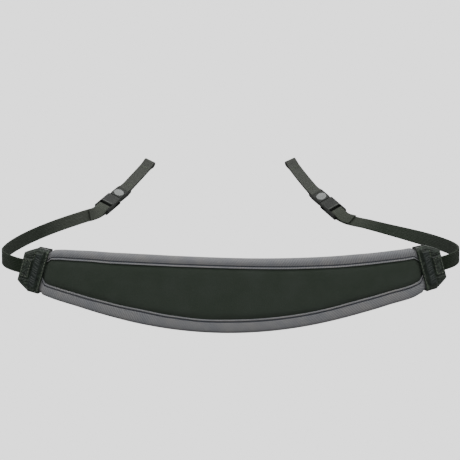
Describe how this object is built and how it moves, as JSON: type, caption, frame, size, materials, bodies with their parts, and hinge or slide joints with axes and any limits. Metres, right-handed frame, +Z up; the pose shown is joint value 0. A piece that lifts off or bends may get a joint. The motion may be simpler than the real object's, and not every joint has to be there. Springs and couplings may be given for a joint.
{
  "type": "camera neck strap",
  "caption": "Padded crescent neck strap with bound edges, moulded end tabs, narrow webbing, quick-release buckles and ring loops, hung as worn.",
  "frame": {"origin": "midway between the two ring eyes that the strap hangs on", "axes": "+X from the left eye to the right eye as seen in the picture, +Y away from the pad, +Z up"},
  "size_m": [0.316, 0.3611, 0.0562],
  "materials": {
    "panel_cloth": "matte, slightly napped",
    "band_cloth": "matte, fine diagonal rib",
    "tab_rubber": "satin, moulded",
    "webbing_nylon": "woven, slight sheen",
    "buckle_plastic": "fine texture, satin",
    "badge_print": "satin"
  },
  "bodies": {
    "root": {"pad_core": "panel_cloth", "binding_top": "band_cloth", "binding_bottom": "band_cloth", "tab_left": "tab_rubber", "tab_right": "tab_rubber", "webbing_left": "webbing_nylon", "webbing_right": "webbing_nylon", "ring_loop_left": "webbing_nylon", "ring_loop_right": "webbing_nylon", "socket_left": "buckle_plastic", "socket_right": "buckle_plastic", "plug_left": "buckle_plastic", "plug_right": "buckle_plastic", "disc_left": "badge_print", "disc_right": "badge_print"}
  },
  "joints": []
}
